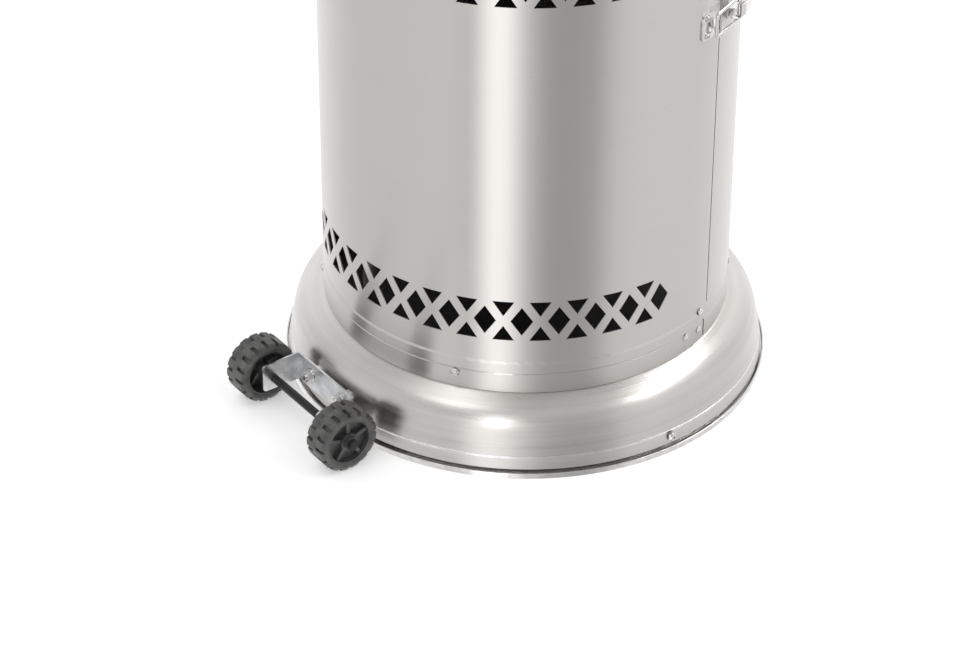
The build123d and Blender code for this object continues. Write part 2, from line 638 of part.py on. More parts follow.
with BuildPart() as bracket_bolts:
    for plane in bolt_planes:
        with Locations(plane.offset(-6)):
            Cylinder(3.0, 15.5, align=BOTTOM_UP)
        with BuildSketch(plane.offset(-10)) as head:
            RegularPolygon(5, 6, major_radius=False)
        extrude(head.sketch, amount=4)
        with BuildSketch(plane.offset(BRACKET_T + 0.05)) as washer:
            Circle(6.4)
            Circle(3.02, mode=Mode.SUBTRACT)
        extrude(washer.sketch, amount=1.2)
        with BuildSketch(plane.offset(BRACKET_T + 1.3)) as nut:
            RegularPolygon(5, 6, major_radius=False)
            Circle(3.02, mode=Mode.SUBTRACT)
        extrude(nut.sketch, amount=4.6)
keep(bracket_bolts, "bracket_bolts")

# ---- Post ---------------------------------------------------------------------------------------------
COUPLER_REACH = 60.0
with BuildPart() as post_trim:
    add_revolved([
        (POST_R + 0.2, 902.2), (46, 902.2), (46, 903.6), (37, 908), (35.4, 920), (POST_R + 0.2, 920),
    ])
keep(post_trim, "post_trim")

POST_SCREW_ANGLES = (30.0, 150.0, 270.0)
joint_screw_planes = [
    radial_plane(angle, POST_R, POST_JOINT + side * 30) for angle in POST_SCREW_ANGLES[::2] for side in (-1, 1)
]
socket_screw_planes = [radial_plane(angle, POST_R + 3, 824) for angle in POST_SCREW_ANGLES]
neck_screw_planes = [radial_plane(angle, POST_R + 1.5, 1700) for angle in POST_SCREW_ANGLES]

with BuildPart() as lower_post:
    add_tube(POST_R, POST_R - POST_WALL, POST_BOTTOM + 4, POST_JOINT)
    cut_holes(joint_screw_planes + socket_screw_planes, 2.5 + HOLE_GAP, 8)
keep(lower_post, "lower_post")

with BuildPart() as upper_post:
    add_tube(POST_R, POST_R - POST_WALL, POST_JOINT, POST_TOP)
    cut_holes(joint_screw_planes + neck_screw_planes, 2.5 + HOLE_GAP, 8)
keep(upper_post, "upper_post")

with BuildPart() as post_coupler:
    coupler_out = POST_R - POST_WALL - 0.05
    add_tube(coupler_out, coupler_out - 2, POST_JOINT - COUPLER_REACH, POST_JOINT + COUPLER_REACH)
    cut_holes(joint_screw_planes, 2.5 + HOLE_GAP, 8)
keep(post_coupler, "post_coupler")

with BuildPart() as post_screws:
    for plane in joint_screw_planes:
        add_screw(plane.offset(0.1), 4.5, 3.0, 2.5, 6)
    for plane in socket_screw_planes + neck_screw_planes:
        add_screw(plane.offset(0.1), 4.5, 3.0, 2.5, 8)
keep(post_screws, "post_screws")

# ---- Gas line -----------------------------------------------------------------------------------------
PIPE_R = 5.0
PIPE_END_Z = 772.0
VALVE_SIZE = (36.0, 28.0, 44.0)
valve_bottom = CONTROL_Z - VALVE_SIZE[2] / 2
HOSE_R = 6.5
HOSE_ROUTE = [
    (0, 0, 756), (0, 0, 722), (0, 27, 692), (0, 70, 678), (0, 113, 662), (0, 139, 628), (0, 139, 592),
]


def bend_radii(route):
    """Bend radii as large as the runs allow: 0.45 of the shorter run over the tangent of half the turn."""
    radii = []
    points = [Vector(*point) for point in route]
    for before, here, after in zip(points, points[1:], points[2:]):
        runs = here - before, after - here
        half_turn = radians(runs[0].get_angle(runs[1]) / 2)
        radii.append(0.45 * min(run.length for run in runs) * cos(half_turn) / sin(half_turn))
    return radii


def make_pipe(route, radii, pipe_r):
    """A round pipe or hose along straight runs joined by tangent arcs."""
    with BuildPart() as pipe:
        with BuildLine():
            centre_line = FilletPolyline(*route, radius=radii)
        with BuildSketch(Plane(origin=centre_line @ 0, z_dir=centre_line % 0)) as section:
            Circle(pipe_r)
        sweep(section.sketch, path=centre_line)
    print("pipe length", round(centre_line.length, 1), "smallest bend", round(min(radii), 1),
          "volume over section", round(pipe.part.volume / section.sketch.area, 1))
    return pipe


post_pipe = make_pipe(
    [(0, 0, PIPE_END_Z), (0, 0, 1726), (KNOB_X, VALVE_Y, 1748), (KNOB_X, VALVE_Y, valve_bottom)], [11, 11], PIPE_R,
)
burner_pipe = make_pipe(
    [(KNOB_X, VALVE_Y, CONTROL_Z + VALVE_SIZE[2] / 2), (KNOB_X, VALVE_Y, 1823), (0, 0, 1827), (0, 0, 1842)],
    [7, 7], 3.0,
)
with BuildPart() as gas_pipes:
    add(post_pipe.part)
    add(burner_pipe.part)
keep(gas_pipes, "gas_pipes")

gas_hose = make_pipe(HOSE_ROUTE, bend_radii(HOSE_ROUTE), HOSE_R)
keep(gas_hose, "gas_hose")

with BuildPart() as pipe_union:
    with BuildSketch(Plane.XY.offset(756)) as nut:
        RegularPolygon(11, 6, major_radius=False)
    extrude(nut.sketch, amount=10)
    add_tube(8, 0, 766, PIPE_END_Z)
keep(pipe_union, "pipe_union")

with BuildPart() as regulator:
    hose_end = HOSE_ROUTE[-1]
    add_tube(8, 0, hose_end[2] - 14, hose_end[2], hose_end[:2])
    with Locations(Plane(origin=(0, hose_end[1], hose_end[2] - 36), x_dir=(0, 1, 0), z_dir=(1, 0, 0))):
        Cylinder(25, 20)
        Cylinder(16, 30)
    add_tube(9, 0, hose_end[2] - 70, hose_end[2] - 56, hose_end[:2])
    add_tube(15, 0, hose_end[2] - 88, hose_end[2] - 70, hose_end[:2])
keep(regulator, "regulator")

with BuildPart() as hose_clip:
    clip_z, hose_y = 600.0, HOSE_ROUTE[-1][1]
    near, far = hose_y + HOSE_R + 0.3, LEG_RING - LEG_R - 0.3
    add_tube(HOSE_R + 1.6, HOSE_R + 0.1, clip_z - 5, clip_z + 5, (0, hose_y))
    add_tube(LEG_R + 1.6, LEG_R + 0.02, clip_z - 5, clip_z + 5, (0, LEG_RING))
    with Locations((0, (near + far) / 2, clip_z)):
        Box(4, far - near, 10)
keep(hose_clip, "hose_clip")

# ---- Control head -------------------------------------------------------------------------------------
def front_plane(x, y):
    """A plane facing the front (-Y) at the height of the controls."""
    return Plane(origin=(x, y, CONTROL_Z), x_dir=(1, 0, 0), z_dir=(0, -1, 0))


PANEL_Y = -83.0
BEZEL_R = 12.0
IGNITER_R = 8.0
BUTTON_R = 5.5
BUTTON_BORE = BUTTON_R + 0.06
STEM_R = 3.0

with BuildPart() as control_housing:
    add_revolved([
        (33.2, 1688), (33.2, 1716), (78, HEAD_BOTTOM - 1), (HEAD_R, HEAD_BOTTOM + 3), (HEAD_R, HEAD_TOP),
        (HEAD_R - SHEET, HEAD_TOP), (HEAD_R - SHEET, HEAD_BOTTOM + 3.4), (77.2, HEAD_BOTTOM),
        (POST_R + 0.05, 1716.6), (POST_R + 0.05, 1688),
    ])
    cut_holes(neck_screw_planes, 2.5 + HOLE_GAP, 6)
    with Locations(front_plane(KNOB_X, -HEAD_R)):
        Cylinder(5, 40, mode=Mode.SUBTRACT)
    with Locations(front_plane(BUTTON_X, -HEAD_R)):
        Cylinder(IGNITER_R + 0.05, 60, mode=Mode.SUBTRACT)
keep(control_housing, "control_housing")

with BuildPart() as control_panel:
    with Locations((0, PANEL_Y, CONTROL_Z)):
        Box(112, 30, 52, align=(Align.CENTER, Align.MIN, Align.CENTER))
    fillet(control_panel.edges().filter_by(Axis.Y), 6)
    add_tube(HEAD_R + 0.05, 0, 1700, 1900, mode=Mode.SUBTRACT)
    with Locations(front_plane(KNOB_X, PANEL_Y)):
        Cylinder(5, 80, mode=Mode.SUBTRACT)
    with Locations(front_plane(BUTTON_X, PANEL_Y)):
        Cylinder(IGNITER_R + 0.05, 80, mode=Mode.SUBTRACT)
keep(control_panel, "control_panel")

with BuildPart() as gas_valve:
    with Locations((KNOB_X, VALVE_Y, CONTROL_Z)):
        Box(*VALVE_SIZE)
    front = VALVE_Y - VALVE_SIZE[1] / 2
    with Locations(front_plane(KNOB_X, front)):
        Cylinder(8, 6, align=BOTTOM_UP)
        Cylinder(STEM_R + RUNNING_GAP, 40, mode=Mode.SUBTRACT)
keep(gas_valve, "gas_valve")

with BuildPart() as valve_stem:
    with Locations(front_plane(KNOB_X, front + 12)):
        Cylinder(STEM_R, 20 + front - PANEL_Y, align=BOTTOM_UP)
keep(valve_stem, "valve_stem")

with BuildPart() as control_knob:
    with Locations(front_plane(KNOB_X, PANEL_Y - 0.6)):
        Cylinder(19, 5, align=BOTTOM_UP)
    with Locations(front_plane(KNOB_X, PANEL_Y - 5.6)):
        Cone(16.5, 14.5, 15, align=BOTTOM_UP)
        Box(6, 33, 15, align=BOTTOM_UP)
    with Locations(front_plane(KNOB_X, PANEL_Y - 20.6)):
        Box(1.6, 10, 0.6, align=BOTTOM_UP)
    with Locations(front_plane(KNOB_X, PANEL_Y - 0.6)):
        Cylinder(STEM_R, 7.4, align=BOTTOM_UP, mode=Mode.SUBTRACT)
keep(control_knob, "control_knob")

with BuildPart() as igniter_body:
    with Locations(front_plane(BUTTON_X, PANEL_Y)):
        Cylinder(IGNITER_R, 40, align=TOP_DOWN)
        Cylinder(BEZEL_R, 2.4, align=BOTTOM_UP)
        Cylinder(BUTTON_BORE, 34, mode=Mode.SUBTRACT)
keep(igniter_body, "igniter_body")

with BuildPart() as igniter_button:
    with Locations(front_plane(BUTTON_X, PANEL_Y + 10)):
        Cylinder(BUTTON_R, 18, align=BOTTOM_UP)
    fillet(igniter_button.edges().filter_by(GeomType.CIRCLE).sort_by(Axis.Y)[0], 1)
keep(igniter_button, "igniter_button")

with BuildPart() as tilt_switch:
    with Locations((34, 30, HEAD_BOTTOM + 12)):
        Box(22, 18, 26, align=BOTTOM_UP)
    with Locations((34, 30, HEAD_BOTTOM)):
        Cylinder(5, 12, align=BOTTOM_UP)
keep(tilt_switch, "tilt_switch")

# ---- Burner and reflector -----------------------------------------------------------------------------
with BuildPart() as burner_pan:
    add_revolved([
        (24, HEAD_TOP), (97, HEAD_TOP), (97, 1850), (95.8, 1850), (95.8, SCREEN_BOTTOM), (24, SCREEN_BOTTOM),
    ])
keep(burner_pan, "burner_pan")

with BuildPart() as burner:
    add_revolved([
        (40, SCREEN_BOTTOM), (40, 1866), (30, 1876), (0, 1880), (0, 1878.6), (29.4, 1874.7), (38.6, 1865.4),
        (38.6, SCREEN_BOTTOM),
    ])
    ports = [radial_plane(15.0 * number, 39, height) for number in range(24) for height in (1850, 1860)]
    cut_holes(ports, 1.6, 4)
keep(burner, "burner")

with BuildPart() as pilot_set:
    add_tube(5, 0, SCREEN_BOTTOM, 1852, (0, -56))
    add_tube(3.5, 0, 1852, 1866, (0, -56))
    add_tube(3.5, 0, SCREEN_BOTTOM, 1858, (14, -56))
    add_tube(1.2, 0, 1858, 1872, (14, -56))
    add_tube(2.2, 0, SCREEN_BOTTOM, 1870, (-14, -56))
keep(pilot_set, "pilot_set")

with BuildPart() as emitter_screen:
    add_revolved([
        (SCREEN_LOW_R, SCREEN_BOTTOM), (SCREEN_HIGH_R, SCREEN_TOP), (SCREEN_HIGH_R - 1, SCREEN_TOP),
        (SCREEN_LOW_R - 1, SCREEN_BOTTOM),
    ])
    windows = [
        radial_plane(15.0 * number + 7.5 * (row % 2), (SCREEN_LOW_R + SCREEN_HIGH_R) / 2, SCREEN_BOTTOM + 30 + 24 * row)
        for number in range(24) for row in range(9)
    ]
    cut_holes(windows, 6, 16)
keep(emitter_screen, "emitter_screen")

with BuildPart() as emitter_cap:
    add_revolved([
        (0, SCREEN_TOP), (0, SCREEN_TOP + 1.5), (119, SCREEN_TOP + 1.5), (120.4, SCREEN_TOP), (120.4, 2072),
        (119, 2072), (119, SCREEN_TOP),
    ])
keep(emitter_cap, "emitter_cap")

stud_spots = [polar(STUD_RING, angle) for angle in POST_SCREW_ANGLES]
CAP_TOP = SCREEN_TOP + 1.5
REFLECTOR_T = 1.2
STUD_TOP = REFLECTOR_CENTRE_Z + 18

with BuildPart() as reflector_studs:
    for spot in stud_spots:
        add_tube(STUD_R, 0, CAP_TOP, STUD_TOP, spot)
keep(reflector_studs, "reflector_studs")

with BuildPart() as reflector_spacers:
    for spot in stud_spots:
        add_tube(6, STUD_R + 0.02, CAP_TOP, REFLECTOR_CENTRE_Z, spot)
keep(reflector_spacers, "reflector_spacers")

with BuildPart() as reflector:
    with BuildSketch(Plane.XZ) as dish:
        with BuildLine():
            flat_r, rim_r = 112.0, REFLECTOR_R - 6
            tangents = [(1, 0), (1, -0.32)]
            for lift in (0, REFLECTOR_T):
                Line((0, REFLECTOR_CENTRE_Z + lift), (flat_r, REFLECTOR_CENTRE_Z + lift))
                Spline(
                    (flat_r, REFLECTOR_CENTRE_Z + lift), (rim_r, REFLECTOR_EDGE_Z + 4 + lift), tangents=tangents,
                )
            Line((0, REFLECTOR_CENTRE_Z), (0, REFLECTOR_CENTRE_Z + REFLECTOR_T))
            Line((rim_r, REFLECTOR_EDGE_Z + 4), (rim_r, REFLECTOR_EDGE_Z + 4 + REFLECTOR_T))
        make_face()
    revolve(dish.sketch, axis=Axis.Z)
    with BuildSketch(Plane.XZ) as bead:
        with Locations((rim_r + 2, REFLECTOR_EDGE_Z + 4)):
            Circle(4)
    revolve(bead.sketch, axis=Axis.Z)
    with Locations(*[(*spot, REFLECTOR_CENTRE_Z) for spot in stud_spots]):
        Cylinder(STUD_R + HOLE_GAP, 10, mode=Mode.SUBTRACT)
keep(reflector, "reflector")

with BuildPart() as wing_nuts:
    base_z = REFLECTOR_CENTRE_Z + REFLECTOR_T
    for spot in stud_spots:
        add_tube(9, STUD_R + 0.02, base_z, base_z + 1.2, spot)
        add_tube(5.5, STUD_R + 0.02, base_z + 1.2, base_z + 8, spot)
        for side in (-1, 1):
            with Locations((spot[0] + side * 10, spot[1], base_z + 9)):
                Box(11, 1.8, 9)
keep(wing_nuts, "wing_nuts")
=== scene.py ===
# %% [markdown]
# # An outdoor gas heater, finished in Blender
# The metal parts were drawn in CAD at their real size. This file loads them as a fixed frame, then
# gives each visible piece a better surface: spun, rolled and pressed sheet is turned again with many
# more steps, small fittings are copied and softened, and every finish is built from nodes.

# %% Load the frame
import bmesh
import bpy
import json
import math
from mathutils import Matrix, Vector


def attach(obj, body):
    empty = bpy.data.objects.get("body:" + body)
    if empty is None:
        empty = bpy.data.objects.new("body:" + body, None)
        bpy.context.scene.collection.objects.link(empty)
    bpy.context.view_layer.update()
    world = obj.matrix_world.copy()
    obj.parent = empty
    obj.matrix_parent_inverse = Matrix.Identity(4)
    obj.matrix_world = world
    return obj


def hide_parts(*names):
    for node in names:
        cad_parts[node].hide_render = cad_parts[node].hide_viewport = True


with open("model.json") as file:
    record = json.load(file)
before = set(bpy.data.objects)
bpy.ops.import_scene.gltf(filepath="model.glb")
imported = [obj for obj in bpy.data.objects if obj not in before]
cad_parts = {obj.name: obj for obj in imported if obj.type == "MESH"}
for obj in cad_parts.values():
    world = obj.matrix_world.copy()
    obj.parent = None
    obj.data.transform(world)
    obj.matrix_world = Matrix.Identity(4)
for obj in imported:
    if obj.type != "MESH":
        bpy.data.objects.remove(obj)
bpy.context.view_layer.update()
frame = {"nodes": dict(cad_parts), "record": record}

# %% [markdown]
# ## The camera
# The camera stands well back with a long lens and looks down on the base. The post axis
# is the Z axis, so the camera is placed by a bearing round it, a distance and a height. The look
# direction is turned a little from the axis to frame the base as wanted.

# %% Camera
CAMERA_BEARING = math.radians(143.0)
CAMERA_DISTANCE = 2.6728
CAMERA_HEIGHT = 1.8282
LOOK_ASIDE = math.radians(-0.92)
LOOK_DOWN = math.radians(34.27)
CAMERA_ROLL = math.radians(0.2)
LENS_MM = 126.4


def make_camera():
    """The camera, aimed by a heading and a pitch."""
    camera = bpy.data.objects.new("camera", bpy.data.cameras.new("camera"))
    bpy.context.scene.collection.objects.link(camera)
    camera.data.lens = LENS_MM
    camera.data.sensor_width = 36.0
    camera.data.clip_end = 60.0
    heading = CAMERA_BEARING + math.pi - LOOK_ASIDE
    forward = Vector((math.cos(heading) * math.cos(LOOK_DOWN), math.sin(heading) * math.cos(LOOK_DOWN),
                      -math.sin(LOOK_DOWN)))
    right = forward.cross(Vector((0, 0, 1))).normalized()
    up = right.cross(forward)
    tilted_right = right * math.cos(CAMERA_ROLL) + up * math.sin(CAMERA_ROLL)
    tilted_up = up * math.cos(CAMERA_ROLL) - right * math.sin(CAMERA_ROLL)
    place = Vector((math.cos(CAMERA_BEARING), math.sin(CAMERA_BEARING), 0)) * CAMERA_DISTANCE
    place.z = CAMERA_HEIGHT
    turn = Matrix((tilted_right, tilted_up, -forward)).transposed()
    camera.matrix_world = Matrix.Translation(place) @ turn.to_4x4()
    bpy.context.scene.camera = camera
    return camera


camera = make_camera()
print("camera at", tuple(round(value, 3) for value in camera.location))

# %% [markdown]
# ## Helpers for finishes
# Each finish is one Principled shader with its own node pattern. The patterns read Object
# coordinates, which are metres here, so a scale of 1000 gives detail a millimetre across.

# %% Finish helpers
MM = 0.001


def new_finish(name, colour, metallic, roughness):
    """A material with one Principled shader, and its node tree."""
    material = bpy.data.materials.new(name)
    material.use_nodes = True
    material.diffuse_color = (*colour, 1)
    shader = material.node_tree.nodes["Principled BSDF"]
    shader.inputs["Base Color"].default_value = (*colour, 1)
    shader.inputs["Metallic"].default_value = metallic
    shader.inputs["Roughness"].default_value = roughness
    return material, material.node_tree, shader


def add_node(tree, kind, **settings):
    """A node with its settings and input values given by name."""
    node = tree.nodes.new(kind)
    for key, value in settings.items():
        if hasattr(node, key):
            setattr(node, key, value)
        else:
            node.inputs[key.replace("_", " ")].default_value = value
    return node


def object_noise(tree, stretch, detail=2.0, vector=None):
    """Noise on Object coordinates, stretched by a different scale along each axis."""
    mapping = add_node(tree, "ShaderNodeMapping")
    mapping.inputs["Scale"].default_value = stretch
    source = vector
    if source is None:
        source = add_node(tree, "ShaderNodeTexCoord").outputs["Object"]
    tree.links.new(source, mapping.inputs["Vector"])
    noise = add_node(tree, "ShaderNodeTexNoise", Scale=1.0, Detail=detail)
    tree.links.new(mapping.outputs["Vector"], noise.inputs["Vector"])
    return noise.outputs["Fac"]


def ranged(tree, value, low, high, start=0.3, end=0.7):
    """Remap a pattern's middle range to a range of shader values."""
    remap = add_node(tree, "ShaderNodeMapRange")
    for key, number in (("From Min", start), ("From Max", end), ("To Min", low), ("To Max", high)):
        remap.inputs[key].default_value = number
    tree.links.new(value, remap.inputs["Value"])
    return remap.outputs["Result"]


def tinted(tree, value, first, second):
    """Blend two colours by a pattern."""
    mix = add_node(tree, "ShaderNodeMix", data_type="RGBA")
    mix.inputs[6].default_value = (*first, 1)
    mix.inputs[7].default_value = (*second, 1)
    tree.links.new(value, mix.inputs[0])
    return mix.outputs[2]


def added(tree, first, second, share):
    """Add a share of one pattern to another."""
    node = add_node(tree, "ShaderNodeMath", operation="MULTIPLY_ADD")
    tree.links.new(second, node.inputs[0])
    node.inputs[1].default_value = share
    tree.links.new(first, node.inputs[2])
    return node.outputs[0]


def bumped(tree, shader, value, strength, depth):
    """Raise the surface by a pattern."""
    bump = add_node(tree, "ShaderNodeBump", Strength=strength, Distance=depth)
    tree.links.new(value, bump.inputs["Height"])
    tree.links.new(bump.outputs["Normal"], shader.inputs["Normal"])


def grain_round(shader, tree, anisotropy):
    """Spread the highlights up and down, across a grain that runs round the post."""
    tangent = add_node(tree, "ShaderNodeTangent", direction_type="RADIAL", axis="Z")
    tree.links.new(tangent.outputs["Tangent"], shader.inputs["Tangent"])
    shader.inputs["Anisotropic"].default_value = anisotropy
    shader.inputs["Anisotropic Rotation"].default_value = 0.25


# %% [markdown]
# ## Stainless sheet, brushed round the drum
# The drum is rolled from sheet that was belt-brushed along its length, so the scratches run round it.
# They are far longer than they are wide: the noise is stretched until a scratch is a fraction of a
# millimetre high and many centimetres long. A coarser layer gives the cloudy bands of a real sheet.

# %% Brushed drum steel
STEEL = (0.64, 0.618, 0.597)
STEEL_DULL = (0.6, 0.58, 0.56)


def brushed_steel(name, roughness, bright=STEEL, dull=STEEL_DULL, anisotropy=0.75):
    """Stainless steel with a fine grain that runs round the post axis."""
    material, tree, shader = new_finish(name, bright, 1.0, roughness)
    fine = object_noise(tree, (12, 12, 3600), 2)
    coarse = object_noise(tree, (7, 7, 1100), 2)
    cloud = object_noise(tree, (3, 3, 20), 2)
    grain = added(tree, fine, coarse, 0.6)
    tree.links.new(tinted(tree, ranged(tree, added(tree, grain, cloud, 0.3), 0, 1, 0.6, 1.3), dull, bright),
                   shader.inputs["Base Color"])
    tree.links.new(ranged(tree, grain, roughness - 0.03, roughness + 0.04, 0.5, 1.1), shader.inputs["Roughness"])
    bumped(tree, shader, grain, 0.08, 0.00003)
    grain_round(shader, tree, anisotropy)
    return material


drum_steel = brushed_steel("drum_brushed_steel", 0.31, anisotropy=0.9)
post_steel = brushed_steel("post_brushed_steel", 0.28)

# %% [markdown]
# The back of the sheet is never polished: it keeps the dull skin of the rolling mill. Its dark grey tone is painted
# shade, standing in for the shade inside the drum, which is why so little can be seen through the holes.

# %% Sheet back, dark grey as painted shade
# The dark grey and its darker patches are painted shade for the inside of the drum; the roughness and bump are the
# dull mill skin.
BACK_SHADE_GREY = (0.15, 0.148, 0.145)
painted_shade_back, painted_shade_tree, painted_shade_shader = new_finish("sheet_back_painted_shade", BACK_SHADE_GREY, 0.8, 0.6)
painted_shade_cloud = object_noise(painted_shade_tree, (14, 14, 14), 3)
painted_shade_tree.links.new(tinted(painted_shade_tree, ranged(painted_shade_tree, painted_shade_cloud, 0, 1), (0.10, 0.099, 0.097), BACK_SHADE_GREY),
                    painted_shade_shader.inputs["Base Color"])
painted_shade_tree.links.new(ranged(painted_shade_tree, painted_shade_cloud, 0.5, 0.68), painted_shade_shader.inputs["Roughness"])
bumped(painted_shade_tree, painted_shade_shader, painted_shade_cloud, 0.1, 0.0002)

# %% [markdown]
# ## Spun steel
# The base cover is spun over a former and then sanded on the lathe, which leaves fine rings. Rings
# keep a constant radius and height, so the pattern is read from the distance to the axis and from the
# height, not from x and y.

# %% Satin spun steel


def ring_vector(tree):
    """(distance from the post axis, a little of x and y, height) as a pattern's vector."""
    source = add_node(tree, "ShaderNodeTexCoord").outputs["Object"]
    flat = add_node(tree, "ShaderNodeVectorMath", operation="MULTIPLY")
    flat.inputs[1].default_value = (1, 1, 0)
    tree.links.new(source, flat.inputs[0])
    length = add_node(tree, "ShaderNodeVectorMath", operation="LENGTH")
    tree.links.new(flat.outputs["Vector"], length.inputs[0])
    apart = add_node(tree, "ShaderNodeSeparateXYZ")
    tree.links.new(source, apart.inputs[0])
    joined = add_node(tree, "ShaderNodeCombineXYZ")
    tree.links.new(length.outputs["Value"], joined.inputs["X"])
    tree.links.new(apart.outputs["X"], joined.inputs["Y"])
    tree.links.new(apart.outputs["Z"], joined.inputs["Z"])
    return joined.outputs["Vector"]


def spun_metal(name, bright, dull, roughness, ring_scale=1100, anisotropy=0.55):
    """Metal turned on a lathe: fine rings about the post axis."""
    material, tree, shader = new_finish(name, bright, 1.0, roughness)
    vector = ring_vector(tree)
    rings = object_noise(tree, (ring_scale, 7, ring_scale), 2, vector)
    wide = object_noise(tree, (150, 4, 150), 2, vector)
    cloud = object_noise(tree, (9, 9, 9), 3)
    grain = added(tree, rings, wide, 0.7)
    tree.links.new(tinted(tree, ranged(tree, added(tree, wide, cloud, 0.9), 0, 1, 0.65, 1.2), dull, bright),
                   shader.inputs["Base Color"])
    tree.links.new(ranged(tree, grain, roughness - 0.04, roughness + 0.08, 0.6, 1.1), shader.inputs["Roughness"])
    bumped(tree, shader, grain, 0.10, 0.00005)
    grain_round(shader, tree, anisotropy)
    return material


satin_steel = spun_metal("satin_spun_steel", (0.64, 0.615, 0.595), (0.55, 0.53, 0.51), 0.3)
reflector_metal = spun_metal("spun_reflector_aluminium", (0.83, 0.83, 0.83), (0.74, 0.74, 0.75), 0.24, 700)
emitter_metal = spun_metal("heat_toned_steel", (0.5, 0.46, 0.42), (0.33, 0.29, 0.27), 0.42, 500)

# %% [markdown]
# ## Fittings
# Screws, latch and hinge leaves are polished; brackets are zinc plated, which dulls to a
# cloudy grey. The two differ in how rough they are and in how patchy that roughness is.

# %% Bright, zinc, black and brass finishes


def patchy_metal(name, bright, dull, smooth, rough, patch=60, metallic=1.0, depth=0.00006):
    """Metal whose tone and roughness drift in soft patches, with a faint fine texture."""
    material, tree, shader = new_finish(name, bright, metallic, smooth)
    patches = object_noise(tree, (patch, patch, patch), 4)
    fine = object_noise(tree, (900, 900, 900), 2)
    tree.links.new(tinted(tree, ranged(tree, patches, 0, 1), dull, bright), shader.inputs["Base Color"])
    tree.links.new(ranged(tree, patches, rough, smooth), shader.inputs["Roughness"])
    bumped(tree, shader, fine, 0.15, depth)
    return material


bright_metal = patchy_metal("bright_fittings", (0.80, 0.79, 0.78), (0.66, 0.65, 0.64), 0.12, 0.26, 140)
zinc_metal = patchy_metal("zinc_plated_sheet", (0.74, 0.745, 0.75), (0.52, 0.53, 0.54), 0.18, 0.40, 70)
brass_metal = patchy_metal("machined_brass", (0.75, 0.56, 0.27), (0.58, 0.41, 0.18), 0.24, 0.4, 120)
cast_metal = patchy_metal("die_cast_grey", (0.46, 0.47, 0.48), (0.36, 0.37, 0.38), 0.4, 0.55, 200)
black_paint = patchy_metal("black_axle_paint", (0.014, 0.014, 0.015), (0.007, 0.007, 0.008), 0.16, 0.3, 90, 0.0)
black_paint.node_tree.nodes["Principled BSDF"].inputs["Specular IOR Level"].default_value = 0.3
iron_paint = patchy_metal("cast_weight_paint", (0.05, 0.05, 0.052), (0.03, 0.03, 0.031), 0.5, 0.75, 80, 0.0, 0.0004)


# %% [markdown]
# ## Moulded parts
# The wheels are moulded in a dark grey plastic with a matt, slightly pebbled skin that holds dust; the
# knob is a smoother black. Both are plain Principled plastics, so the skin is all in the roughness,
# the tone and a fine bump.

# %% Plastics and rubber


def moulded(name, dark, dusty, smooth, rough, pebble=1400, depth=0.00012):
    """A moulded plastic with a pebbled skin and a little dust in its tone."""
    material, tree, shader = new_finish(name, dark, 0.0, smooth)
    dust = object_noise(tree, (75, 75, 75), 5)
    skin = object_noise(tree, (pebble, pebble, pebble), 2)
    tree.links.new(tinted(tree, ranged(tree, dust, 0, 1, 0.35, 0.7), dark, dusty), shader.inputs["Base Color"])
    tree.links.new(ranged(tree, dust, smooth, rough), shader.inputs["Roughness"])
    bumped(tree, shader, skin, 0.25, depth)
    return material


tyre_plastic = moulded("tyre_moulded_plastic", (0.048, 0.048, 0.047), (0.125, 0.122, 0.118), 0.36, 0.6)
hub_plastic = moulded("hub_moulded_plastic", (0.036, 0.036, 0.036), (0.085, 0.084, 0.082), 0.28, 0.5)
knob_plastic = moulded("knob_moulded_plastic", (0.018, 0.018, 0.019), (0.03, 0.03, 0.031), 0.3, 0.42)
panel_plastic = moulded("panel_textured_plastic", (0.022, 0.022, 0.023), (0.035, 0.035, 0.036), 0.4, 0.55, 2200)
hose_rubber = moulded("hose_rubber", (0.014, 0.014, 0.014), (0.03, 0.03, 0.03), 0.45, 0.6, 900)

# %% [markdown]
# ## Which finish each part has
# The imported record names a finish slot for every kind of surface. One table here ties each slot to
# its shader and to the parts that wear it, so a part's finish is looked up and never typed twice.

# %% Finish table
FINISH_OF_SLOT = {
    "brushed_steel": drum_steel, "satin_steel": satin_steel, "bright_hardware": bright_metal,
    "zinc_sheet": zinc_metal, "wheel_plastic": tyre_plastic, "black_steel": black_paint,
    "cast_weight": iron_paint, "black_plastic": panel_plastic, "brass_fitting": brass_metal,
    "grey_casting": cast_metal, "hose_rubber": hose_rubber, "emitter_steel": emitter_metal,
    "reflector_aluminium": reflector_metal,
}
BODY_OF_NODE = {node: body for body, members in frame["record"]["behaviour"]["bodies"].items() for node in members}


def slot_of(node):
    """The finish slot that a CAD part was packed with."""
    return frame["nodes"][node].data.materials[0].name.split(".")[0]


# %% [markdown]
# ## Softening a pressed or machined part
# A CAD mesh is loose flat triangles. A copy is merged and its flat areas are joined into single faces,
# then a small bevel catches the light along every edge, as a real edge does after pressing, tumbling
# or moulding. The copy stands for the CAD part and rides on the same body.

# %% Softened copies
STEP_ANGLE = math.radians(28)


def place(name, mesh, finish, *nodes):
    """Make a mesh a piece: its finish, its body and the CAD parts that it stands for."""
    piece = bpy.data.objects.new(name, mesh)
    bpy.context.scene.collection.objects.link(piece)
    mesh.materials.clear()
    mesh.materials.append(finish)
    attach(piece, BODY_OF_NODE[nodes[0]])
    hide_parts(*nodes)
    return piece


def merged_copy(node):
    """A bmesh of a CAD part with its loose triangles joined."""
    bm = bmesh.new()
    bm.from_mesh(frame["nodes"][node].data)
    bmesh.ops.remove_doubles(bm, verts=bm.verts, dist=0.000002)
    return bm


def finished_mesh(bm, name, smooth=True):
    """Turn a bmesh into a mesh, smooth except across sharp edges."""
    mesh = bpy.data.meshes.new(name)
    for face in bm.faces:
        face.smooth = smooth
    bm.to_mesh(mesh)
    bm.free()
    if smooth:
        mesh.set_sharp_from_angle(angle=STEP_ANGLE)
    return mesh


